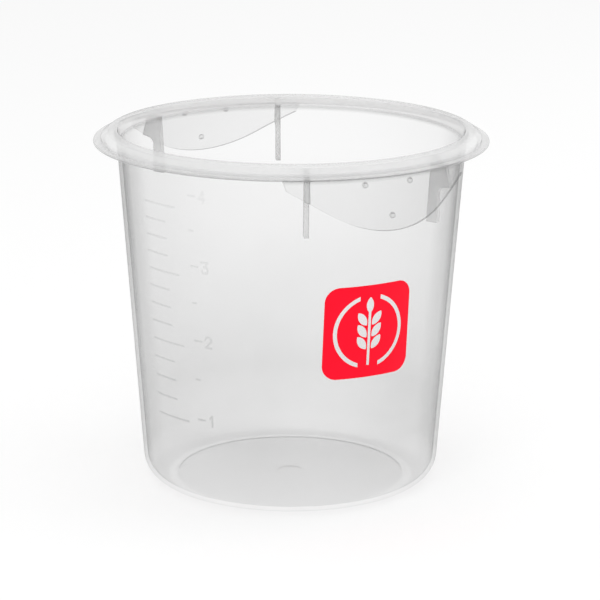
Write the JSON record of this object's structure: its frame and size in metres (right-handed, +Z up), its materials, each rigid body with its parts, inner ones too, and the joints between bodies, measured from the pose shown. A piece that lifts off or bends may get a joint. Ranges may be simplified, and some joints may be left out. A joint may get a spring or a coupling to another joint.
{
  "type": "dough proofing container",
  "caption": "Round tapered translucent food tub with a flanged rim, finger grips and moulded volume scales.",
  "frame": {"origin": "centre of the base, on the table", "axes": "+Z up, -Y towards the printed label and the front handle, +X to the right of the label"},
  "size_m": [0.2159, 0.2282, 0.197],
  "materials": {
    "clear_plastic": "translucent polypropylene, smooth",
    "red_print": "printed ink"
  },
  "bodies": {
    "root": {"base": "clear_plastic", "wall": "clear_plastic", "rim": "clear_plastic", "front_handle": "clear_plastic", "back_handle": "clear_plastic", "front_left_rib": "clear_plastic", "front_right_rib": "clear_plastic", "back_left_rib": "clear_plastic", "back_right_rib": "clear_plastic", "litre_scale": "clear_plastic", "quart_scale": "clear_plastic", "label": "red_print"}
  },
  "joints": []
}
